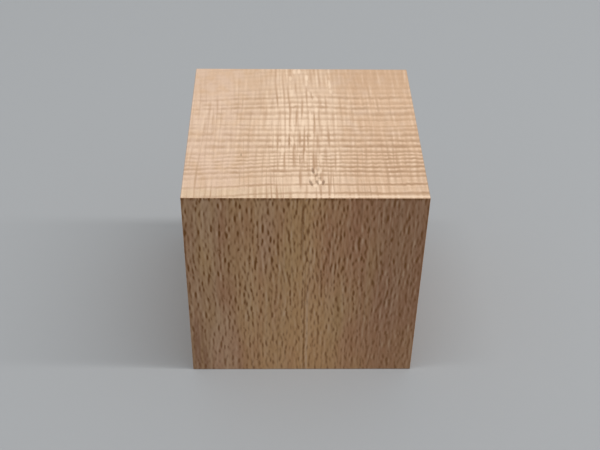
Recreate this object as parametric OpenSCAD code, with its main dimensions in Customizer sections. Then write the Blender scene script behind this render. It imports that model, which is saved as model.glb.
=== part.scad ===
// Wooden cube: one solid block of beech, planed square on all six faces.
//
// The fibres stand upright, along Z. The top and the bottom are end grain, and
// the four sides are long grain. The tree's growth rings lie almost flat to
// the front, which faces -Y, and the heart of the tree was in front of it.
//
// The origin is the centre of the bottom face, which is what the cube rests on.
// All sizes are in millimetres.

/* [Block] */
// Width of the block, from left to right
width = 60; // [20:1:150]
// Depth of the block, from front to back
depth = 60; // [20:1:150]
// Height of the block, along the fibres
height = 60; // [20:1:150]

/* [Edges] */
// Strip eased off each face beside a sharp edge
arris = 0.25; // [0.05:0.05:3]

/* [Hidden] */

// How far a cutting bar runs past the block at each end
overrun = 5;

// A long bar, turned an eighth of a turn, that holds an a by b by length
// block. Its four flats take the arrises off the block's four long edges.
module easing_bar(a, b, length) {
    across_flats = ((a + b) / 2 - arris) * sqrt(2);
    linear_extrude(length + 2 * overrun, center = true)
        rotate(45)
            square(across_flats, center = true);
}

// The block: the squared timber, kept inside one easing bar along each axis
module wooden_cube() {
    color("burlywood")
        translate([0, 0, height / 2])
            intersection() {
                cube([width, depth, height], center = true);
                easing_bar(width, depth, height);
                rotate([90, 0, 0]) easing_bar(width, height, depth);
                rotate([0, 90, 0]) easing_bar(height, depth, width);
            }
}

wooden_cube();
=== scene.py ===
"""The looks of a planed cube of solid beech, and the small studio that it stands in."""

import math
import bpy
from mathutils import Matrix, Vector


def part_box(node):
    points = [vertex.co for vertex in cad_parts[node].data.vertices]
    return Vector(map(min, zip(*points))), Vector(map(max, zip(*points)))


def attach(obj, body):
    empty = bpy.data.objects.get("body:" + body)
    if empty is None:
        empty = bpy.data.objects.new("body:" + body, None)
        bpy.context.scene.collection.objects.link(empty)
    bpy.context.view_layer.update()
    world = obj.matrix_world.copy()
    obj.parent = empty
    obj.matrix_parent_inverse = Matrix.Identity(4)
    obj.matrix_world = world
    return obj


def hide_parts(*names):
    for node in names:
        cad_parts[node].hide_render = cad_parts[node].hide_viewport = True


bl_info = {
    "name": "Wooden Cube",
    "version": (1, 0, 0),
    "blender": (4, 5, 0),
    "location": "3D Viewport > Sidebar > Wooden Cube",
    "description": "Builds a planed cube of solid beech and a studio to show it in",
    "category": "Add Mesh",
}

import bpy
import numpy as np
from mathutils import Euler

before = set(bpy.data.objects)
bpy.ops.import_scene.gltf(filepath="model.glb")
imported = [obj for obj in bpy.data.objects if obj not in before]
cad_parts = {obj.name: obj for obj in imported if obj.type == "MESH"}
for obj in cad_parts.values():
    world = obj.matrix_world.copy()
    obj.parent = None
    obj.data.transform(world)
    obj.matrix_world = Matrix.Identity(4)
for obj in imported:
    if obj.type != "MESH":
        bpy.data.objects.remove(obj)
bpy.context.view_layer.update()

NODE = "wooden_cube"
BODY = "root"
LOW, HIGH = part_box(NODE)
MM = 0.001
X, Y, Z = range(3)


def srgb(red, green, blue):
    """A colour in the 0 to 255 steps of a colour picker, as the linear numbers that Blender mixes."""
    steps = (red / 255, green / 255, blue / 255)
    return tuple(s / 12.92 if s <= 0.04045 else ((s + 0.055) / 1.055) ** 2.4 for s in steps)


# ---------------------------------------------------------------------------
# What a user can change
# ---------------------------------------------------------------------------


def length(name, description, default):
    """A length in metres."""
    return bpy.props.FloatProperty(
        name=name,
        description=description,
        default=default,
        min=0.0,
        max=10.0,
        precision=5,
        subtype="DISTANCE",
        unit="LENGTH",
    )


def share(name, description, default, largest=2.0):
    """A plain number without a unit."""
    return bpy.props.FloatProperty(
        name=name,
        description=description,
        default=default,
        min=0.0,
        max=largest,
        subtype="FACTOR",
    )


def colour(name, description, default):
    """A colour of the wood or of the studio."""
    return bpy.props.FloatVectorProperty(
        name=name,
        description=description,
        default=default,
        size=3,
        min=0.0,
        max=1.0,
        subtype="COLOR",
    )


class CubeShape(bpy.types.PropertyGroup):
    """The sizes of the block's mesh."""

    arris: length("Arris", "Radius that the block's sharp edges are eased to", 0.25 * MM)
    arris_change: share("Arris change", "How much the radius varies along an edge", 0.25, 0.9)
    pitch: length("Mesh pitch", "Distance between the mesh's lines on a plain face", 0.75 * MM)
    fleck_pitch: length("Fleck pitch", "Distance between the mesh's lines over the fleck", 0.15 * MM)
    fleck_depth: length("Fleck depth", "Depth of the fleck below the top", 0.12 * MM)


class BeechGrain(bpy.types.PropertyGroup):
    """How strongly the parts of the grain show."""

    rings: share("Rings", "Darkness of the growth rings", 1.0)
    rays: share("Rays", "Darkness of the rays", 1.0)
    fibres: share("Fibres", "Unevenness of the fibres between the rays", 1.0)
    zones: share("Colour zones", "Change of hue from one part of the block to another", 1.0)
    relief: length("Relief", "Height of the raised grain", 0.03 * MM)


class BeechColours(bpy.types.PropertyGroup):
    """The colours of the wood, as daylight shows them. Some of them also paint sheen and shade on it."""

    end_pale: colour("End grain", "Early wood on the top and the bottom", srgb(225, 193, 163))
    end_ring: colour("End ring", "Late wood on the top and the bottom", srgb(181, 144, 112))
    end_ray: colour("End ray", "Rays on the top and the bottom", srgb(193, 156, 125))
    # Pale wood on the top and the bottom. In the middle of the top it also paints the rays' sheen as colour.
    end_cream_and_sheen: colour("End cream", "Bright patches in the middle of the top", srgb(250, 221, 192))
    end_pink: colour("End pink", "Hue of the top's left part", srgb(228, 196, 171))
    end_warm: colour("End warm", "Hue of the top's right part", srgb(222, 184, 150))
    end_green: colour("End green", "Hue of the top's near left corner", srgb(216, 193, 156))
    long_pale: colour("Long grain", "Fibres on the four sides", srgb(200, 155, 111))
    # Late wood on the four sides. On the front and the back it also paints shade that darkens them towards
    # the top.
    long_late_and_shade: colour("Long late wood", "Late wood on the four sides", srgb(172, 126, 89))
    long_shade: colour("Long shade", "The darker stretch at the right of the front", srgb(160, 117, 88))
    # Rays on the front and the back. The same colour paints the shade under the front's upper edge.
    long_ray_and_edge_shade: colour("Long ray", "Rays on the front and the back", srgb(126, 80, 33))
    flake: colour("Flake", "Rays laid open on the left and the right", srgb(184, 134, 98))
    grey: colour("Grey zone", "Hue of the cooler wood", srgb(182, 145, 113))
    red: colour("Red zone", "Hue of the redder wood", srgb(181, 131, 98))
    olive: colour("Olive zone", "Hue of the yellower wood", srgb(195, 155, 108))
    # Low on the front this colour also paints the floor's bounce light, as a paler, warmer bottom.
    warm: colour("Warm zone", "Hue of the warmer wood low on the front", srgb(214, 166, 115))
    fleck: colour("Fleck", "The natural fleck in the top", srgb(122, 90, 64))


class Studio(bpy.types.PropertyGroup):
    """The camera, the lamp, the even light and the floor."""

    floor: colour("Floor", "Colour of the floor and of the wall round it", srgb(172, 174, 176))
    floor_radius: length("Floor radius", "Radius of the flat floor", 1.6)
    cove: length("Cove", "Radius of the bend from the floor to the wall", 0.5)
    wall: length("Wall", "Height of the wall above the bend", 0.5)
    lamp_length: length("Lamp length", "Length of the strip lamp, from left to right", 3.0)
    lamp_width: length("Lamp width", "Width of the strip lamp", 0.12)
    lamp_height: length("Lamp height", "Height of the strip lamp above the floor", 1.5)
    lamp_front: length("Lamp forward", "How far the strip lamp hangs in front of the cube", 0.10)
    lamp_right: length("Lamp right", "How far the strip lamp hangs to the right", 0.9)
    lamp_power: bpy.props.FloatProperty(
        name="Lamp power",
        description="Power of the strip lamp",
        default=19.0,
        min=0.0,
        unit="POWER",
    )
    sky: share("Sky", "Brightness of the even light from all round", 0.6)
    sky_tint: colour("Sky tint", "Colour of the even light from all round", (0.97, 0.99, 1.0))
    camera_place: bpy.props.FloatVectorProperty(
        name="Camera place",
        description="Where the camera stands, measured from the centre of the cube's base",
        default=(-6.5 * MM, -219.5 * MM, 207.4 * MM),
        subtype="XYZ",
        unit="LENGTH",
    )
    camera_turn: bpy.props.FloatVectorProperty(
        name="Camera turn",
        description="Pitch up from straight down, tilt and heading of the camera",
        default=(math.radians(50.60), math.radians(1.08), math.radians(-1.58)),
        subtype="XYZ",
        unit="ROTATION",
    )
    lens: bpy.props.FloatProperty(
        name="Lens",
        description="Focal length of the lens",
        default=60.24,
        min=1.0,
        unit="CAMERA",
    )


# ---------------------------------------------------------------------------
# Numbers that run through a material
# ---------------------------------------------------------------------------


# How far each seed moves a pattern's start along the three axes, in the pattern's own steps
SEED_STEPS = (3.7, 11.3, 7.9)


def feed(tree, entry, value):
    """Gives a node's input a wire or a fixed value."""
    if isinstance(value, Wire):
        tree.links.new(value.socket, entry)
    else:
        entry.default_value = value


class Wire:
    """A number in a material, as it comes out of a node. Arithmetic on it adds Math nodes."""

    def __init__(self, tree, socket):
        self.tree = tree
        self.socket = socket

    def math(self, operation, *others):
        """The result of a Math node that has this number as its first input."""
        node = self.tree.nodes.new("ShaderNodeMath")
        node.operation = operation
        for entry, value in zip(node.inputs, (self, *others)):
            feed(self.tree, entry, value)
        return Wire(self.tree, node.outputs[0])

    def __add__(self, other):
        return self.math("ADD", other)

    def __mul__(self, other):
        return self.math("MULTIPLY", other)

    def __truediv__(self, other):
        return self.math("DIVIDE", other)

    def __sub__(self, other):
        return self.math("SUBTRACT", other)

    def __rsub__(self, other):
        return self * -1 + other

    def __neg__(self):
        return self * -1

    __radd__ = __add__
    __rmul__ = __mul__


def smooth(value, start, end):
    """Climbs smoothly from 0 where value is start to 1 where it is end."""
    node = value.tree.nodes.new("ShaderNodeMapRange")
    node.interpolation_type = "SMOOTHSTEP"
    feed(value.tree, node.inputs["Value"], value)
    node.inputs["From Min"].default_value = start
    node.inputs["From Max"].default_value = end
    return Wire(value.tree, node.outputs["Result"])


def band(value, middle, half_width):
    """1 where value is middle, falling smoothly to 0 at half_width to either side."""
    return smooth((value - middle).math("ABSOLUTE"), half_width, 0)


def curve(value, points):
    """Straight pieces between points of (value, height)."""
    first, last = points[0][0], points[-1][0]
    low = min(height for at, height in points)
    high = max(height for at, height in points)
    node = value.tree.nodes.new("ShaderNodeFloatCurve")
    knots = node.mapping.curves[0].points
    while len(knots) < len(points):
        knots.new(0.5, 0.5)
    for knot, (at, height) in zip(knots, points):
        knot.location = ((at - first) / (last - first), (height - low) / (high - low))
        knot.handle_type = "VECTOR"
    node.mapping.update()
    feed(value.tree, node.inputs["Value"], (value - first) / (last - first))
    return Wire(value.tree, node.outputs["Value"]) * (high - low) + low


class Place:
    """A point in the wood, in millimetres: x to the right, y to the back, z up the fibres."""

    def __init__(self, tree, socket):
        self.tree = tree
        self.socket = socket
        parts = tree.nodes.new("ShaderNodeSeparateXYZ")
        tree.links.new(socket, parts.inputs[0])
        self.x, self.y, self.z = (Wire(tree, out) for out in parts.outputs)

    @classmethod
    def of(cls, x, y, z):
        """The point with the given x, y and z."""
        join = x.tree.nodes.new("ShaderNodeCombineXYZ")
        for entry, value in zip(join.inputs, (x, y, z)):
            feed(x.tree, entry, value)
        return cls(x.tree, join.outputs[0])

    def scaled(self, size, seed):
        """The same point counted in steps of size, from a start of its own for each seed."""
        node = self.tree.nodes.new("ShaderNodeMapping")
        self.tree.links.new(self.socket, node.inputs["Vector"])
        node.inputs["Location"].default_value = tuple(step * seed for step in SEED_STEPS)
        node.inputs["Scale"].default_value = tuple(1 / s for s in size)
        return node.outputs["Vector"]


def noise(place, size, seed, detail=0):
    """A soft random number between about -1 and 1, in lumps of the given size."""
    node = place.tree.nodes.new("ShaderNodeTexNoise")
    place.tree.links.new(place.scaled(size, seed), node.inputs["Vector"])
    node.inputs["Scale"].default_value = 1
    node.inputs["Detail"].default_value = detail
    return Wire(place.tree, node.outputs["Fac"]) * 2 - 1


def stripes(place, size, waves, seed):
    """Short stripes that follow one another across x, in lumps of the given size with so many waves to a
    lump. A number between about -3 and 3, most of it between -1 and 1."""
    node = place.tree.nodes.new("ShaderNodeTexGabor")
    node.gabor_type = "3D"
    place.tree.links.new(place.scaled(size, seed), node.inputs["Vector"])
    node.inputs["Scale"].default_value = 1
    node.inputs["Frequency"].default_value = waves
    across = next(entry for entry in node.inputs if entry.identifier == "Orientation 3D")
    across.default_value = (1, 0, 0)
    return (Wire(place.tree, node.outputs["Value"]) - 0.5) * 10


class Tone:
    """A colour in a material, which shades are laid over one after another."""

    def __init__(self, tree, source):
        self.tree = tree
        self.source = source

    def over(self, shade, amount):
        """The same colour under a shade, which hides none of it where amount is 0 and all of it at 1."""
        node = self.tree.nodes.new("ShaderNodeMix")
        node.data_type = "RGBA"
        node.blend_type = "MIX"
        below, above = (entry for entry in node.inputs if entry.type == "RGBA")
        feed(self.tree, node.inputs[0], amount)
        feed(self.tree, below, self.source)
        feed(self.tree, above, (*shade, 1))
        result = next(out for out in node.outputs if out.type == "RGBA")
        return Tone(self.tree, Wire(self.tree, result))

    def mottled(self, dark, pale, uneven):
        """The same colour under the dark shade where uneven is above 0, and under the pale one below 0."""
        return self.over(dark, uneven).over(pale, -uneven)


# ---------------------------------------------------------------------------
# Beech
# ---------------------------------------------------------------------------

# Sizes and places in this part are in millimetres: x to the right and y to the back of the block's middle,
# and z up from its base. The fibres run along z.
FRONT_FACE = LOW[Y] / MM
SIDE_FACE = HIGH[X] / MM
TOP_FACE = HIGH[Z] / MM

# Each growth ring's dark line: its depth behind the block's front, and how dark it is. An entry of darkness
# 0 or 0.1 between two lines keeps a wide gap between them pale.
RINGS = (
    (-2, 0.8), (0, 0), (2, 0.9), (3.5, 0), (5.5, 1), (7, 0.1), (9, 0.8), (11, 1), (13, 1), (14.5, 0.8),
    (16, 0.9), (17.5, 0.8), (19, 0.8), (21.5, 1), (24, 1), (26.5, 0.9), (29, 0.7), (31, 0.7), (32.5, 0),
    (34, 0.7), (37, 0.8), (40, 1), (42, 0.7), (45, 0.9), (47, 0.4), (49.5, 0.4), (52, 0.2), (54, 0.2),
    (57, 0.3), (59, 0.3), (62, 0.4), (64, 0.3), (67, 0.4),
)
# Where in a ring, from one dark line to the next, the wood is palest
PALEST = 0.6
# At this depth the rings run straight, with a slight tilt. In front of it and behind it they skew and sag.
STRAIGHT_DEPTH = 22
RING_SKEW = 0.00006
RING_SAG = 0.0000016
RING_TILT = 0.009
# How far the rings also run out of line towards the back, at the left and at the right, by their depth
LEFT_BENDS = (
    (0, -0.3), (6, -0.6), (12, -1.1), (18, -0.9), (24, 0.3), (30, 0.9), (36, 0.1), (42, -0.4),
    (48, -0.3), (60, -0.2),
)
RIGHT_BENDS = (
    (0, -0.28), (6, -0.4), (12, -0.67), (18, -0.12), (24, 0.1), (30, -0.4), (36, -1), (42, -0.94),
    (48, -0.5), (60, -0.28),
)

# Spots on the top and on the front. Each has the place of its middle, from the left to the right and up the
# face, its half length and half width, its lean in degrees, and its strength.
FLECK = (
    (2.0, -18.8, 1.4, 0.36, 4, 0.65),
    (3.4, -18.2, 1.0, 0.28, 0, 0.3),
    (2.8, -20.8, 0.9, 0.32, -20, 0.45),
    (1.4, -24.0, 1.3, 0.36, 16, 0.65),
    (2.9, -23.6, 1.0, 0.34, 10, 0.6),
    (3.6, -22.0, 0.5, 0.40, 0, 0.35),
    (4.4, -23.7, 1.1, 0.36, -8, 0.7),
)
SPECK = ((-16.0, -12.2, 0.6, 0.18, 0, 0.6),)
FLECK_RIMS = (
    (1.6, -21.9, 0.7, 0.6, 0, 0.7),
    (2.6, -19.3, 1.0, 0.35, 0, 0.6),
    (3.6, -23.7, 0.8, 0.45, 0, 1.0),
    (3.7, -18.8, 1.3, 0.5, 0, 0.7),
    (2.4, -25.1, 0.8, 0.5, 0, 0.8),
)
# Pale dashes along the rays in the middle of the top: partly the wood's own pale patches, partly the rays'
# sheen painted as colour.
PALE_DASHES_AND_SHEEN = (
    (-2.2, 28.4, 1.3, 0.35, 0, 0.8),
    (-0.8, 28.6, 1.2, 0.45, 0, 0.9),
    (-3.3, 24.7, 1.4, 0.40, 0, 0.6),
    (1.3, 25.0, 1.6, 0.45, 0, 1.0),
    (1.2, 22.0, 1.3, 0.35, 0, 0.7),
    (7.6, 21.6, 2.3, 0.35, 2, 0.8),
    (7.8, 17.8, 1.0, 0.45, 0, 0.7),
    (-2.9, 17.0, 1.8, 0.45, 0, 0.6),
    (1.7, 16.8, 1.2, 0.35, 8, 0.7),
    (3.6, 14.5, 1.3, 0.45, 12, 0.7),
    (1.8, 11.2, 0.9, 0.50, 0, 0.8),
    (-2.8, 11.0, 1.0, 0.55, 0, 0.6),
    (3.6, 8.7, 1.2, 0.35, 0, 0.9),
    (1.9, 5.8, 3.0, 0.35, 0, 0.9),
    (-2.8, 0.3, 2.8, 0.35, 3, 0.9),
    (-4.2, -0.2, 3.4, 0.35, 0, 0.8),
    (-0.1, 2.2, 1.3, 0.40, 0, 0.7),
    (-5.4, -5.6, 2.2, 0.45, 0, 0.8),
    (-2.9, -6.4, 1.8, 0.35, 0, 0.8),
    (2.2, -3.6, 1.4, 0.35, 0, 0.7),
    (-5.6, -10.3, 1.2, 0.65, 0, 0.8),
    (0.2, -12.6, 2.2, 0.35, 0, 0.7),
    (4.0, -14.0, 2.2, 0.35, 0, 0.7),
)
DARK_DASHES = (
    (-3.8, -6.2, 3.2, 0.25, 0, 1.0),
    (1.0, -5.6, 3.6, 0.20, 0, 0.8),
    (2.9, 4.6, 3.0, 0.20, 0, 0.7),
    (-2.4, -8.6, 1.6, 0.22, 0, 0.7),
    (-1.2, -14.4, 2.4, 0.22, 0, 0.6),
    (2.5, 15.6, 2.0, 0.25, 4, 0.6),
)
SEAM_AND_DARK_LINES = (
    (0.3, 14.0, 24.0, 0.26, 0.0, 0.8),
    (-0.6, 51.0, 10.0, 0.42, 0.0, 0.8),
    (-6.7, 43.0, 9.0, 0.28, 0.0, 0.5),
    (13.6, 56.0, 4.0, 0.40, 0.0, 0.7),
    (-26.9, 13.0, 8.0, 0.40, 1.0, 0.5),
    (3.4, 34.0, 1.3, 0.40, 0.0, 0.9),
)
FRONT_PALE = (
    (1.0, 13.0, 22.0, 0.36, 0.0, 0.7),
    (-24.2, 8.0, 10.0, 0.9, -4.0, 0.3),
    (-20.4, 4.0, 20.0, 3.6, 0.0, 0.42),
    (-9.6, 50.0, 16.0, 2.2, 0.0, 0.35),
    (1.7, 42.0, 9.0, 0.5, 0.0, 0.35),
)
FRONT_RED = (
    (-28.4, 8.0, 13.0, 1.0, 0.0, 0.9),
    (-26.4, 3.0, 7.0, 0.8, 0.0, 0.8),
)
# How far from a spot's middle it begins to fade, and how far out it ends: the squares of the distances, in
# half lengths and half widths of the spot
SPOT_CORE = 0.1
SPOT_END = 1.7

# Sizes of what repeats in the wood: across, from front to back, and along the fibres
FIBRE = (0.33, 0.33, 6)
PORE = (0.25, 0.25, 5)
STREAK = (2.2, 2.2, 60)
LINE = (0.65, 0.65, 32)
CLOUD = (15, 15, 50)
WEAVE = (1.2, 5, 3.6)
END_WEAVE = (1.3, 9, 2.5)
# Waves of the weave to a lump of it
WAVES = 0.79
# How strongly the rays and the stripes between them count in the flat grain's weave
SPINDLE_SHARE = 2.25
STRIPE_SHARE = 0.47
# Heights of the weave at which the pale fibres and the dark rays begin to show, and show in full
FLAT_PALE = (0, -2.2)
FLAT_DARK = (-0.3, 2.8)
END_PALE = (0.2, -2.2)
END_DARK = (-0.2, 2.2)
# The room that each ray has, and half the size of the ray itself
RAY_CELL = (2.15, 26, 2.9)
RAY_REACH = (0.45, 20, 0.93)
FLAKE_CELL = (3, 8, 2.6)
FLAKE_REACH = (1.6, 2.9, 0.75)
# How far the rays stray from even rows, from 0 to 1
RAY_SCATTER = 0.7
# The least that a ray is of the usual height and of the usual strength, and how much more it may be
RAY_HEIGHTS = (0.75, 0.5)
RAY_STRENGTHS = (0.25, 0.75)
# How strongly the paler fibres show beside a ray
RAY_PARTING = 1.5
# Distance between the thin lines along the rays of the end grain
RAY_LINE_PITCH = 1.35


def growth_rings(place):
    """Late wood, from 0 to 1. Each line is sharp towards the front, and fades towards the back."""
    x = place.x
    depth = place.y - FRONT_FACE
    away = (depth - STRAIGHT_DEPTH) * (depth - STRAIGHT_DEPTH)
    bend = away * (x * RING_SKEW - x * x * RING_SAG) + x * RING_TILT
    near_left = smooth(x, -2, -28)
    near_right = band(x, 20, 20)
    bend = bend + curve(depth, LEFT_BENDS) * near_left + curve(depth, RIGHT_BENDS) * near_right
    wobble = noise(place, (9, 6, 40), seed=1) * 0.3 + noise(place, (3, 3, 30), seed=2) * 0.2
    ripple = noise(place, (0.9, 3, 20), seed=16) * 0.22
    drift = noise(place, (60, 60, 35), seed=3) * (TOP_FACE - place.z) * 0.04
    straight = depth - bend + wobble + ripple + drift
    count = curve(straight, [(at, number) for number, (at, darkness) in enumerate(RINGS)])
    part = count.math("FRACT")
    late = smooth(part, PALEST, 0) + smooth(part, PALEST, 1)
    fainter_left = smooth(x, -70, 0)
    return late * curve(straight, RINGS) * fainter_left


def wood_place(tree, winding=0):
    """A point in the wood, and the same point as the fibres see it, which wander to the left and right."""
    coordinates = tree.nodes.new("ShaderNodeTexCoord")
    scale = tree.nodes.new("ShaderNodeVectorMath")
    scale.operation = "SCALE"
    scale.inputs["Scale"].default_value = 1 / MM
    tree.links.new(coordinates.outputs["Object"], scale.inputs[0])
    place = Place(tree, scale.outputs[0])
    x = place.x + noise(place, (14, 30, 25), seed=4) * 0.6
    if winding:
        x = x + noise(place, (6, 7, 20), seed=5) * winding
    return place, Place.of(x, place.y, place.z)


def rays(fibres, cell, reach, seed):
    """The rays, as upright spindles in staggered columns: a number that is up to 1 in the middle of a dark
    ray and falls below 0 in the paler fibres that part round it."""
    tree = fibres.tree
    staggered = Place.of(fibres.x, fibres.y, fibres.z + fibres.x * (cell[Z] / cell[X] / 2))
    counted = staggered.scaled(cell, seed)
    cells = tree.nodes.new("ShaderNodeTexVoronoi")
    cells.inputs["Scale"].default_value = 1
    cells.inputs["Randomness"].default_value = RAY_SCATTER
    tree.links.new(counted, cells.inputs["Vector"])
    offset = tree.nodes.new("ShaderNodeVectorMath")
    offset.operation = "SUBTRACT"
    tree.links.new(counted, offset.inputs[0])
    tree.links.new(cells.outputs["Position"], offset.inputs[1])
    away = Place(tree, offset.outputs[0])
    chances = tree.nodes.new("ShaderNodeSeparateColor")
    tree.links.new(cells.outputs["Color"], chances.inputs[0])
    least, more = RAY_HEIGHTS
    height = Wire(tree, chances.outputs[0]) * more + least
    least, more = RAY_STRENGTHS
    strength = Wire(tree, chances.outputs[1]) * more + least
    across = away.x * (cell[X] / reach[X])
    deep = away.y * (cell[Y] / reach[Y])
    tall = (away.z - away.x * 0.5) * (cell[Z] / reach[Z]) / height
    beside = across * across
    distance = beside + deep * deep + tall * tall
    return (1 - beside * RAY_PARTING) * (-distance).math("EXPONENT") * strength


def ray_lines(fibres):
    """The thin lines along the rays of the end grain: above 0 along a line, and below 0 between two."""
    shift = noise(fibres, (4, 40, 6), seed=13) * (2.2 * math.pi)
    wave = (fibres.x * (math.tau / RAY_LINE_PITCH) + shift).math("COSINE")
    return wave * (noise(fibres, (3, 14, 5), seed=14) * 0.9 + 0.6)


def squared_distance(x, up, at_x, at_up, half_length, half_width, lean):
    """How far a point is from the middle of a spot, squared, in half lengths and half widths of it."""
    turn = math.radians(lean)
    run = x - at_x
    rise = up - at_up
    along = (rise * math.cos(turn) - run * math.sin(turn)) / half_length
    across = (run * math.cos(turn) + rise * math.sin(turn)) / half_width
    return along * along + across * across


def spots(place, up, group):
    """How strongly the spots of a group show, from 0 to 1, on a face whose height runs along up."""
    x = place.x + noise(place, (0.5, 0.8, 0.8), seed=17) * 0.12
    up = up + noise(place, (0.7, 0.7, 0.7), seed=18) * 0.25
    strongest = 0.0
    for *shape, strength in group:
        shown = smooth(squared_distance(x, up, *shape), SPOT_END, SPOT_CORE) * strength
        strongest = shown.math("MAXIMUM", strongest)
    return strongest


def spread(stretches, everywhere=0, **more):
    """A number that holds everywhere, and so much more of it in each stretch that is named."""
    total = everywhere
    for name, amount in more.items():
        total = stretches[name] * amount + total
    return total


def end_stretches(place):
    """How far a point of the end grain lies in each stretch of it, from 0 outside to 1 well inside."""
    x, y = place.x, place.y
    stretches = {
        "left": smooth(x, -12, -24),
        "middle": smooth(x.math("ABSOLUTE"), 14, 4),
        "right": smooth(x, 3, 20),
        "back": smooth(y, 10, 24),
        "waist": band(y, 0, 12),
        "front": smooth(y, 2, -14),
        "front_edge": smooth(y, -14, -26),
    }
    crossings = (
        ("back", ("left", "middle", "right")),
        ("waist", ("left", "right")),
        ("front", ("middle", "right")),
    )
    for row, columns in crossings:
        for column in columns:
            stretches[f"{row}_{column}"] = stretches[row] * stretches[column]
    return stretches


def end_rings(place, fibres, stretches):
    """The growth rings' dark lines on the end grain, patchy along their length."""
    patches = noise(fibres, (1.8, 5, 20), seed=21) * spread(stretches, everywhere=0.4, left=0.3)
    strength = patches + spread(
        stretches, everywhere=0.71, left=-0.23, middle=-0.1, front=0.15, front_right=0.15
    )
    return growth_rings(place) * strength


def end_rays(fibres, stretches):
    """The rays on the end grain: above 0 where they are dark and below 0 where they are pale. And the thin
    dark lines along them, from 0 to about 1."""
    strength = spread(
        stretches, everywhere=0.36, left=-0.05, middle=0.46, front_middle=0.12, front_right=0.12
    )
    strength = strength * spread(stretches, everywhere=1, back=-0.3, back_left=-0.3)
    weave = stripes(fibres, END_WEAVE, WAVES, seed=6) * strength
    lines = smooth(ray_lines(fibres), 0.2, 1.5)
    lines = lines * spread(stretches, everywhere=0.65, front=0.2, front_edge=0.3)
    lines = lines * spread(stretches, everywhere=1, back=-0.6, back_left=-0.3)
    return weave, lines


def top_marks(tone, place, late, right, on_top, colours):
    """Lays over the top what the bottom doesn't have: single dashes along the rays, which also paint part of
    the rays' sheen, the last ring before the front edge, and the fleck."""
    y = place.y
    depth = y - FRONT_FACE
    dashes = spots(place, y, PALE_DASHES_AND_SHEEN) * (1 - late * 0.4) * 0.9
    tone = tone.over(colours.end_cream_and_sheen, dashes * on_top)
    last_ring = band(depth, 1.7, 0.6) * right * 0.6
    tone = tone.over(colours.end_ring, last_ring * on_top)
    last_gap = band(depth, 0.7, 0.55) * smooth(place.x, -6, 8) * 0.7
    tone = tone.over(colours.end_cream_and_sheen, last_gap * on_top)
    tone = tone.over(colours.end_ring, spots(place, y, DARK_DASHES) * on_top)
    tone = tone.over(colours.end_cream_and_sheen, spots(place, y, FLECK_RIMS) * on_top)
    return tone.over(colours.fleck, spots(place, y, FLECK + SPECK) * on_top)


def end_grain(tree, grain, colours):
    """The top and the bottom: rings from left to right, crossed by rays from front to back."""
    place, fibres = wood_place(tree)
    stretches = end_stretches(place)
    late = end_rings(place, fibres, stretches) * grain.rings
    weave, lines = (part * grain.rays for part in end_rays(fibres, stretches))
    pores = noise(place, PORE, seed=8)
    cloud = noise(place, CLOUD, seed=9)
    uneven = (pores * 0.3 + cloud * 0.15) * grain.fibres
    hue = noise(place, (3, 5, 20), seed=20) + noise(place, (1.1, 1.6, 20), seed=24) * 0.5
    on_top = smooth(place.z, TOP_FACE - 2, TOP_FACE - 1)

    tone = Tone(tree, (*colours.end_pale, 1))
    tone = tone.over(colours.end_pink, (hue + stretches["left"]) * 0.9)
    tone = tone.over(colours.end_warm, hue * -0.9 + spread(stretches, right=0.9, back=0.2))
    gaps = smooth(late, 0.3, 0) * spread(stretches, everywhere=0.14, back=-0.14)
    # The middle stretch's cream is painted sheen: the band where the rays catch the lamp, laid on as colour.
    cream = spread(stretches, left=0.03, middle=0.54, back_middle=-0.27, front_right=0.15)
    tone = tone.over(colours.end_cream_and_sheen, cream + gaps)
    shade = spread(
        stretches, back=0.17, back_right=0.1, waist_left=0.13, waist_right=0.13, front_edge=0.1
    )
    tone = tone.over(colours.end_ring, shade)
    near_left_corner = smooth(place.y - FRONT_FACE, 5, 2) * smooth(place.x, 2, -6)
    tone = tone.over(colours.end_green, near_left_corner * on_top * 0.4)
    tone = tone.over(colours.end_cream_and_sheen, smooth(weave, *END_PALE) * 1.05)
    tone = tone.over(colours.end_ray, smooth(weave, *END_DARK) * 0.92 + lines)
    tone = tone.over(colours.end_ring, late)
    tone = tone.mottled(colours.end_ring, colours.end_cream_and_sheen, uneven)
    tone = top_marks(tone, place, late, stretches["right"], on_top, colours)

    roughness = 0.62 + pores * 0.06
    height = pores * 0.4 - late * 0.3 + weave * 0.1
    return tone, roughness, height


def long_fibres(fibres):
    """What makes the upright fibres uneven, each from about -1 to 1: the fine fibres, the soft streaks and
    the thin lines between them."""
    fibre = noise(fibres, FIBRE, seed=10, detail=1)
    streak = noise(fibres, STREAK, seed=11, detail=1)
    line = noise(fibres, LINE, seed=34)
    return fibre, streak, line


def flat_stretches(place):
    """How far a point of the flat grain lies in each stretch of it, from 0 outside to 1 well inside."""
    x = place.x
    upper = smooth(place.z, -10, 50)
    return {
        "left": smooth(x, 0, -20),
        "middle": band(x, 0, 12),
        "upper": upper,
        "upper_left": upper * smooth(x, 25, 0),
    }


def flat_weave(fibres):
    """The weave of the flat grain: above 0 in the dark ends of the rays, and below 0 in the pale fibres
    that part round them."""
    spindles = sum(rays(fibres, RAY_CELL, RAY_REACH, seed) for seed in (26, 27, 28, 29))
    return spindles * SPINDLE_SHARE + stripes(fibres, WEAVE, WAVES, seed=6) * STRIPE_SHARE


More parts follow.
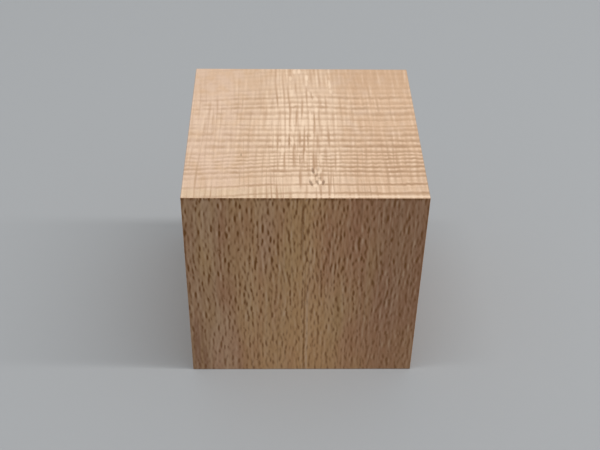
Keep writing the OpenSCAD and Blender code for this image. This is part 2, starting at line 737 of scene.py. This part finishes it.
def flat_hues(tone, place, fibres, front, grain, colours):
    """Lays the slow changes of hue over the flat grain: by stretches of its own on the front, and in clouds
    on the back. Low on the front it also paints the floor's bounce light, as a paler, warmer bottom."""
    x, z = place.x, place.z
    cloud = noise(place, CLOUD, seed=12) * (1 - front)
    hue = noise(fibres, (3, 15, 30), seed=19) + noise(place, (9, 15, 14), seed=22) * 0.8
    left = smooth(x, -12, -26) * front
    right = smooth(x, 3, 14) * front
    far_right = smooth(x, 10, 24) * front
    # each hue, and how strongly it lies over those before it
    layers = (
        (colours.grey, (left + cloud) * 0.8),
        (colours.red, (right - cloud) * (smooth(z, 45, 15) * 0.25 + 0.6)),
        (colours.olive, band(x, 1, 10) * front * 0.4),
        (colours.olive, hue),
        (colours.red, -hue),
        # The two warm layers grow lower down, and this growth is painted bounce light from the floor. The
        # warm stripe in the middle is the wood's own hue.
        (colours.warm, band(x, 1, 9) * front * (smooth(z, 45, 0) * 0.3 + 0.4)),
        (colours.warm, smooth(x, -22, -12) * front * smooth(z, 25, 0) * 0.3),
        (colours.long_shade, far_right * (smooth(z, 5, 40) * 0.25 + 0.5)),
    )
    for shade, amount in layers:
        tone = tone.over(shade, amount * grain.zones)
    return tone


def edge_shade_and_notches(place, fibres):
    """How much darker the front is: along its upper edge, in painted shade of the eased edge broken into
    notches where the rays meet it, and along its two sides.
    """
    notches = noise(fibres, (0.45, 5, 1.2), seed=25) * 0.9 + 0.4
    upper = smooth(place.z, TOP_FACE - 1.2, TOP_FACE - 0.3) * notches
    sides = smooth(place.x.math("ABSOLUTE"), SIDE_FACE - 0.8, SIDE_FACE - 0.2) * 0.35
    return upper + sides


def flat_grain(tree, grain, colours):
    """The front and the back: upright fibres that weave round the dark ends of the rays."""
    place, fibres = wood_place(tree)
    z = place.z
    front = smooth(place.y, 0, -20)
    stretches = flat_stretches(place)
    late = growth_rings(place) * grain.rings
    weave = flat_weave(fibres) * grain.rays
    contrast = spread(stretches, everywhere=0.65, left=0.04, upper=0.3, upper_left=0.08)
    pale = smooth(weave, *FLAT_PALE) * contrast * spread(stretches, everywhere=0.55, middle=0.12)
    dark = smooth(weave, *FLAT_DARK) * contrast * spread(stretches, everywhere=0.98, middle=-0.12)
    fibre, streak, line = long_fibres(fibres)
    uneven = (fibre * 0.25 + streak * 0.26 + line * 0.24) * grain.fibres

    tone = Tone(tree, (*colours.long_pale, 1))
    # The part that rises towards the top, smooth(z, 25, 60), is painted shade: darker high up and paler low
    # down, where the floor's bounce light falls.
    tone = tone.over(colours.long_late_and_shade, late * 0.4 + smooth(z, 25, 60) * 0.3)
    tone = flat_hues(tone, place, fibres, front, grain, colours)
    tone = tone.over(colours.long_shade, spots(place, z, FRONT_RED) * front)
    tone = tone.mottled(colours.long_late_and_shade, colours.end_pale, uneven)
    tone = tone.over(colours.end_pale, spots(place, z, FRONT_PALE) * front * 0.6)
    tone = tone.over(colours.end_pale, pale)
    tone = tone.over(colours.long_ray_and_edge_shade, dark)
    # Painted shade under the front's upper edge, broken by the rays' notches, and a darker strip along its
    # two sides.
    tone = tone.over(colours.long_ray_and_edge_shade, edge_shade_and_notches(place, fibres) * front)
    tone = tone.over(colours.long_ray_and_edge_shade, spots(place, z, SEAM_AND_DARK_LINES) * front * 0.6)

    roughness = 0.58 + fibre * 0.08
    height = fibre * 0.5 - smooth(weave, 0, 3) * 0.6
    return tone, roughness, height


def ray_flakes(place, fibres):
    """The rays laid open on the quartered sides: flakes that are long from front to back, with ragged ends,
    from 0 to about 1."""
    ragged_y = fibres.y + noise(place, (3, 2, 0.7), seed=35, detail=1) * 1.8
    ragged_z = fibres.z + noise(place, (3, 2.4, 1.5), seed=36, detail=1) * 0.7
    ragged = Place.of(fibres.x, ragged_y, ragged_z)
    flakes = sum(rays(ragged, FLAKE_CELL, FLAKE_REACH, seed) for seed in (30, 31, 32))
    patches = noise(place, (8, 12, 20), seed=33) * 0.5 + 0.7
    return smooth(flakes, 0.05, 0.85) * patches


def quarter_grain(tree, grain, colours):
    """The left and the right: straight upright rings, crossed by the smooth flakes of the rays."""
    place, fibres = wood_place(tree, winding=1.2)
    late = growth_rings(place) * grain.rings
    flake = ray_flakes(place, fibres) * grain.rays
    fibre, streak, line = long_fibres(fibres)
    uneven = (fibre * 0.35 + streak * 0.3 + line * 0.2) * grain.fibres

    tone = Tone(tree, (*colours.long_pale, 1))
    tone = tone.over(colours.long_late_and_shade, late * 0.65)
    tone = tone.mottled(colours.long_late_and_shade, colours.end_pale, uneven)
    tone = tone.over(colours.flake, flake)

    roughness = 0.58 + fibre * 0.08 - flake * 0.12
    height = fibre * 0.5 + flake * 0.2
    return tone, roughness, height


def wood(name, cut, grain, colours):
    """A material of beech cut one way across the fibres."""
    material = bpy.data.materials.new(name)
    material.use_nodes = True
    tree = material.node_tree
    shader = tree.nodes["Principled BSDF"]
    tone, roughness, height = cut(tree, grain, colours)
    feed(tree, shader.inputs["Base Color"], tone.source)
    feed(tree, shader.inputs["Roughness"], roughness)
    shader.inputs["Specular IOR Level"].default_value = 0.3
    bump = tree.nodes.new("ShaderNodeBump")
    bump.inputs["Strength"].default_value = 1
    bump.inputs["Distance"].default_value = grain.relief
    feed(tree, bump.inputs["Height"], height)
    tree.links.new(bump.outputs["Normal"], shader.inputs["Normal"])
    return material


# ---------------------------------------------------------------------------
# The block
# ---------------------------------------------------------------------------

# The block's faces: outward axis, its side, the two axes that the face lies along, and its material's number
FACES = (
    (Z, 1, X, Y, 0),
    (Z, -1, X, Y, 0),
    (Y, -1, X, Z, 1),
    (Y, 1, X, Z, 1),
    (X, -1, Y, Z, 2),
    (X, 1, Y, Z, 2),
)
# Distances of the mesh's lines from a sharp edge, in radii of the edge
EDGE_LINES = (0, 0.35, 0.7, 1.0, 1.3, 2.0)
# Corners of the stretch of the top, in millimetres, where the mesh is fine enough to hold the fleck
FLECK_LOW = (0.3, -26.0)
FLECK_HIGH = (5.2, -17.2)
# The top's outermost millimetre, which alone takes the fleck
FLECK_LAYER = 1 * MM
# Turns of three waves that the edges' radius follows, in radians per millimetre along each axis
EDGE_WAVES = ((0.31, 0.27, 0.35), (0.83, 0.91, 0.77), (1.9, 2.1, 2.3))
# Points of the faces are one point where they fall in the same step of this length
POINT_STEP = 0.001 * MM

# The bake map has one tile for each face, with a margin that is a share of the tile
BAKE_MAP = "OFBake"
TILE_COLUMNS = 3
TILE_ROWS = 2
TILE_MARGIN = 0.003


def stops(axis, shape):
    """Places of the mesh's lines along an axis, close together at the eased edges and over the fleck."""
    low, high = LOW[axis], HIGH[axis]
    near_edge = [radii * shape.arris for radii in EDGE_LINES]
    count = round((high - low) / shape.pitch)
    plain = np.linspace(low, high, count + 1)[1:-1]
    lines = [low + inset for inset in near_edge] + list(plain) + [high - inset for inset in near_edge]
    if axis != Z:
        start, end = FLECK_LOW[axis] * MM, FLECK_HIGH[axis] * MM
        lines = [place for place in lines if not start < place < end]
        lines += list(np.linspace(start, end, round((end - start) / shape.fleck_pitch) + 1))
    return np.array(sorted(lines))


def face_grid(normal, side, first, second, lines):
    """The points of one face, row by row: each row runs along the face's second axis."""
    a, b = np.meshgrid(lines[first], lines[second], indexing="ij")
    points = np.empty((*a.shape, 3))
    points[..., first] = a
    points[..., second] = b
    points[..., normal] = HIGH[normal] if side > 0 else LOW[normal]
    return points


def face_quads(grid, normal, side, first, second):
    """The quads between the points of a face, each with its four corners in turn seen from outside."""
    rows, columns = grid.shape[:2]
    index = np.arange(rows * columns).reshape(rows, columns)
    corners = (index[:-1, :-1], index[1:, :-1], index[1:, 1:], index[:-1, 1:])
    quads = np.stack(corners, -1).reshape(-1, 4)
    outward = np.cross(np.eye(3)[first], np.eye(3)[second])[normal] * side
    return quads if outward > 0 else quads[:, ::-1]


def bake_places(grid, tile, first, second):
    """The place of each point of a face on the bake map, in the face's own tile. The face's first axis runs
    up the tile, and its second axis across it."""
    size = HIGH - LOW
    upward = (grid[..., first] - LOW[first]) / size[first]
    sideways = (grid[..., second] - LOW[second]) / size[second]
    row, column = divmod(tile, TILE_COLUMNS)
    u = (column + TILE_MARGIN + sideways * (1 - 2 * TILE_MARGIN)) / TILE_COLUMNS
    v = (row + TILE_MARGIN + upward * (1 - 2 * TILE_MARGIN)) / TILE_ROWS
    return np.stack([u, v], -1).reshape(-1, 2)


def joined(points, quads):
    """The same quads with one point wherever two or more faces meet."""
    steps = np.round(points / POINT_STEP).astype(int)
    _, kept, merged = np.unique(steps, axis=0, return_index=True, return_inverse=True)
    return points[kept], merged.reshape(-1)[quads]


def eased(points, shape):
    """Rounds the block's sharp edges, to a radius that varies a little along them."""
    waves = sum(np.sin(points @ np.array(turns) / MM + start) for start, turns in enumerate(EDGE_WAVES))
    wear = 0.5 + 0.5 * waves / len(EDGE_WAVES)
    radius = shape.arris * (1 - shape.arris_change * wear)[:, None]
    inner = np.clip(points, np.array(LOW) + radius, np.array(HIGH) - radius)
    away = points - inner
    return inner + away * radius / np.linalg.norm(away, axis=1, keepdims=True)


def fleck_strength(points):
    """The fleck's strength at each point of the block, from 0 to 1."""
    strongest = np.zeros(len(points))
    for *shape, strength in FLECK:
        distance = squared_distance(points[:, X] / MM, points[:, Y] / MM, *shape)
        closeness = np.clip((SPOT_END - distance) / (SPOT_END - SPOT_CORE), 0, 1)
        strongest = np.maximum(strongest, strength * closeness**2 * (3 - 2 * closeness))
    return strongest * (points[:, Z] > HIGH[Z] - FLECK_LAYER)


def make_block(shape):
    """The block as one closed mesh of quads, with its fleck, its bake map and its material numbers."""
    lines = [stops(axis, shape) for axis in (X, Y, Z)]
    points, quads, quad_maps, materials = [], [], [], []
    used = 0
    for tile, (normal, side, first, second, material) in enumerate(FACES):
        grid = face_grid(normal, side, first, second, lines)
        own_quads = face_quads(grid, normal, side, first, second)
        points.append(grid.reshape(-1, 3))
        quads.append(own_quads + used)
        quad_maps.append(bake_places(grid, tile, first, second)[own_quads])
        materials.append(np.full(len(own_quads), material))
        used += len(points[-1])
    points, quads = joined(np.concatenate(points), np.concatenate(quads))
    strength = fleck_strength(points)
    points = eased(points, shape)
    points[:, Z] -= strength * shape.fleck_depth

    mesh = bpy.data.meshes.new("beech_block")
    mesh.from_pydata(points.tolist(), [], quads.tolist())
    mesh.uv_layers.new(name=BAKE_MAP).data.foreach_set("uv", np.concatenate(quad_maps).reshape(-1))
    mesh.polygons.foreach_set("material_index", np.concatenate(materials))
    mesh.polygons.foreach_set("use_smooth", np.ones(len(quads), bool))
    mesh.update()
    return mesh


# ---------------------------------------------------------------------------
# The studio
# ---------------------------------------------------------------------------

# Steps of the floor's mesh: round it, across its flat part, and up its bend
FLOOR_SEGMENTS = 128
FLAT_RINGS = 8
BEND_RINGS = 16


def turned_profile(profile, segments):
    """A mesh made by turning a list of (radius, height) about the upright axis, starting at its centre."""
    angles = np.linspace(0, math.tau, segments, endpoint=False)
    points = [(0, 0, profile[0][1])]
    for radius, height in profile[1:]:
        points += [(radius * math.cos(a), radius * math.sin(a), height) for a in angles]
    faces = []
    for k in range(segments):
        following = (k + 1) % segments
        faces.append((0, 1 + k, 1 + following))
        for ring in range(len(profile) - 2):
            inner = 1 + ring * segments
            outer = inner + segments
            faces.append((inner + k, outer + k, outer + following, inner + following))
    mesh = bpy.data.meshes.new("studio_floor")
    mesh.from_pydata(points, [], faces)
    mesh.polygons.foreach_set("use_smooth", np.ones(len(faces), bool))
    mesh.update()
    return mesh


def make_floor(studio):
    """A flat floor that bends up into a round wall."""
    flat = [(radius, 0.0) for radius in np.linspace(0, studio.floor_radius, FLAT_RINGS + 1)[:-1]]
    bend = [
        (studio.floor_radius + studio.cove * math.sin(a), studio.cove * (1 - math.cos(a)))
        for a in np.linspace(0, math.pi / 2, BEND_RINGS + 1)
    ]
    wall_top = (studio.floor_radius + studio.cove, studio.cove + studio.wall)
    mesh = turned_profile([*flat, *bend, wall_top], FLOOR_SEGMENTS)
    floor = bpy.data.objects.new("floor", mesh)
    material = bpy.data.materials.new("grey_floor")
    material.use_nodes = True
    shader = material.node_tree.nodes["Principled BSDF"]
    shader.inputs["Base Color"].default_value = (*studio.floor, 1)
    shader.inputs["Roughness"].default_value = 0.9
    shader.inputs["Specular IOR Level"].default_value = 0.0
    mesh.materials.append(material)
    return floor


def make_lamp(studio):
    """A long strip lamp that hangs from left to right, nearly over the cube."""
    light = bpy.data.lights.new("strip_lamp", "AREA")
    light.shape = "RECTANGLE"
    light.size = studio.lamp_length
    light.size_y = studio.lamp_width
    light.energy = studio.lamp_power
    lamp = bpy.data.objects.new("strip_lamp", light)
    lamp.location = (studio.lamp_right, -studio.lamp_front, studio.lamp_height)
    return lamp


def make_camera(studio):
    """The camera, high in front of the cube."""
    data = bpy.data.cameras.new("camera")
    data.sensor_width = 36.0
    data.lens = studio.lens
    data.clip_start = 0.01
    data.clip_end = 20.0
    camera = bpy.data.objects.new("camera", data)
    camera.location = studio.camera_place
    pitch, tilt, heading = studio.camera_turn
    turn = Euler((0, 0, heading)).to_matrix() @ Euler((pitch, 0, 0)).to_matrix()
    turn = turn @ Euler((0, 0, tilt)).to_matrix()
    camera.rotation_euler = turn.to_euler()
    return camera


def make_sky(studio):
    """An even light from all round."""
    world = bpy.data.worlds.new("sky")
    world.use_nodes = True
    background = world.node_tree.nodes["Background"]
    background.inputs["Color"].default_value = (*studio.sky_tint, 1)
    background.inputs["Strength"].default_value = studio.sky
    return world


# ---------------------------------------------------------------------------
# Operators, panel and registration
# ---------------------------------------------------------------------------


class WOODEN_CUBE_OT_cube(bpy.types.Operator):
    """Build the beech block with its grain"""

    bl_idname = "wooden_cube.cube"
    bl_label = "Beech Cube"

    def execute(self, context):
        scene = context.scene
        block = bpy.data.objects.new("beech_cube", make_block(scene.cube_shape))
        scene.collection.objects.link(block)
        cuts = (("beech_end", end_grain), ("beech_flat", flat_grain), ("beech_quarter", quarter_grain))
        for name, cut in cuts:
            block.data.materials.append(wood(name, cut, scene.beech_grain, scene.beech_colours))
        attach(block, BODY)
        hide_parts(NODE)
        return {"FINISHED"}


class WOODEN_CUBE_OT_studio(bpy.types.Operator):
    """Build the floor, the lamp, the even light and the camera"""

    bl_idname = "wooden_cube.studio"
    bl_label = "Studio"

    def execute(self, context):
        scene = context.scene
        studio = scene.cube_studio
        floor = make_floor(studio)
        lamp = make_lamp(studio)
        camera = make_camera(studio)
        for thing in (floor, lamp, camera):
            scene.collection.objects.link(thing)
        scene.camera = camera
        scene.world = make_sky(studio)
        scene.view_settings.view_transform = "Standard"
        return {"FINISHED"}


class WOODEN_CUBE_PT_sidebar(bpy.types.Panel):
    """Lists the cube, its grain and colours, and the studio"""

    bl_idname = "WOODEN_CUBE_PT_sidebar"
    bl_label = "Wooden Cube"
    bl_space_type = "VIEW_3D"
    bl_region_type = "UI"
    bl_category = "Wooden Cube"

    def draw(self, context):
        scene = context.scene
        self.draw_group(scene.cube_shape)
        self.draw_group(scene.beech_grain)
        self.draw_group(scene.beech_colours)
        self.layout.operator(WOODEN_CUBE_OT_cube.bl_idname)
        self.draw_group(scene.cube_studio)
        self.layout.operator(WOODEN_CUBE_OT_studio.bl_idname)

    def draw_group(self, group):
        """Lists every size or colour of a group."""
        column = self.layout.column(align=True)
        for name in group.bl_rna.properties.keys():
            if name not in ("rna_type", "name"):
                column.prop(group, name)


GROUPS = {
    "cube_shape": CubeShape,
    "beech_grain": BeechGrain,
    "beech_colours": BeechColours,
    "cube_studio": Studio,
}
TOOLS = (WOODEN_CUBE_OT_cube, WOODEN_CUBE_OT_studio, WOODEN_CUBE_PT_sidebar)


def register():
    """Adds the groups of sizes and colours, the operators and the panel to Blender."""
    for name, group in GROUPS.items():
        bpy.utils.register_class(group)
        setattr(bpy.types.Scene, name, bpy.props.PointerProperty(type=group))
    for tool in TOOLS:
        bpy.utils.register_class(tool)


def unregister():
    """Takes away all that register adds."""
    for tool in reversed(TOOLS):
        bpy.utils.unregister_class(tool)
    for name, group in GROUPS.items():
        delattr(bpy.types.Scene, name)
        bpy.utils.unregister_class(group)


def main():
    """Builds the studio and the cube."""
    register()
    bpy.ops.wooden_cube.studio()
    bpy.ops.wooden_cube.cube()
    bpy.context.view_layer.update()


if __name__ == "__main__":
    main()
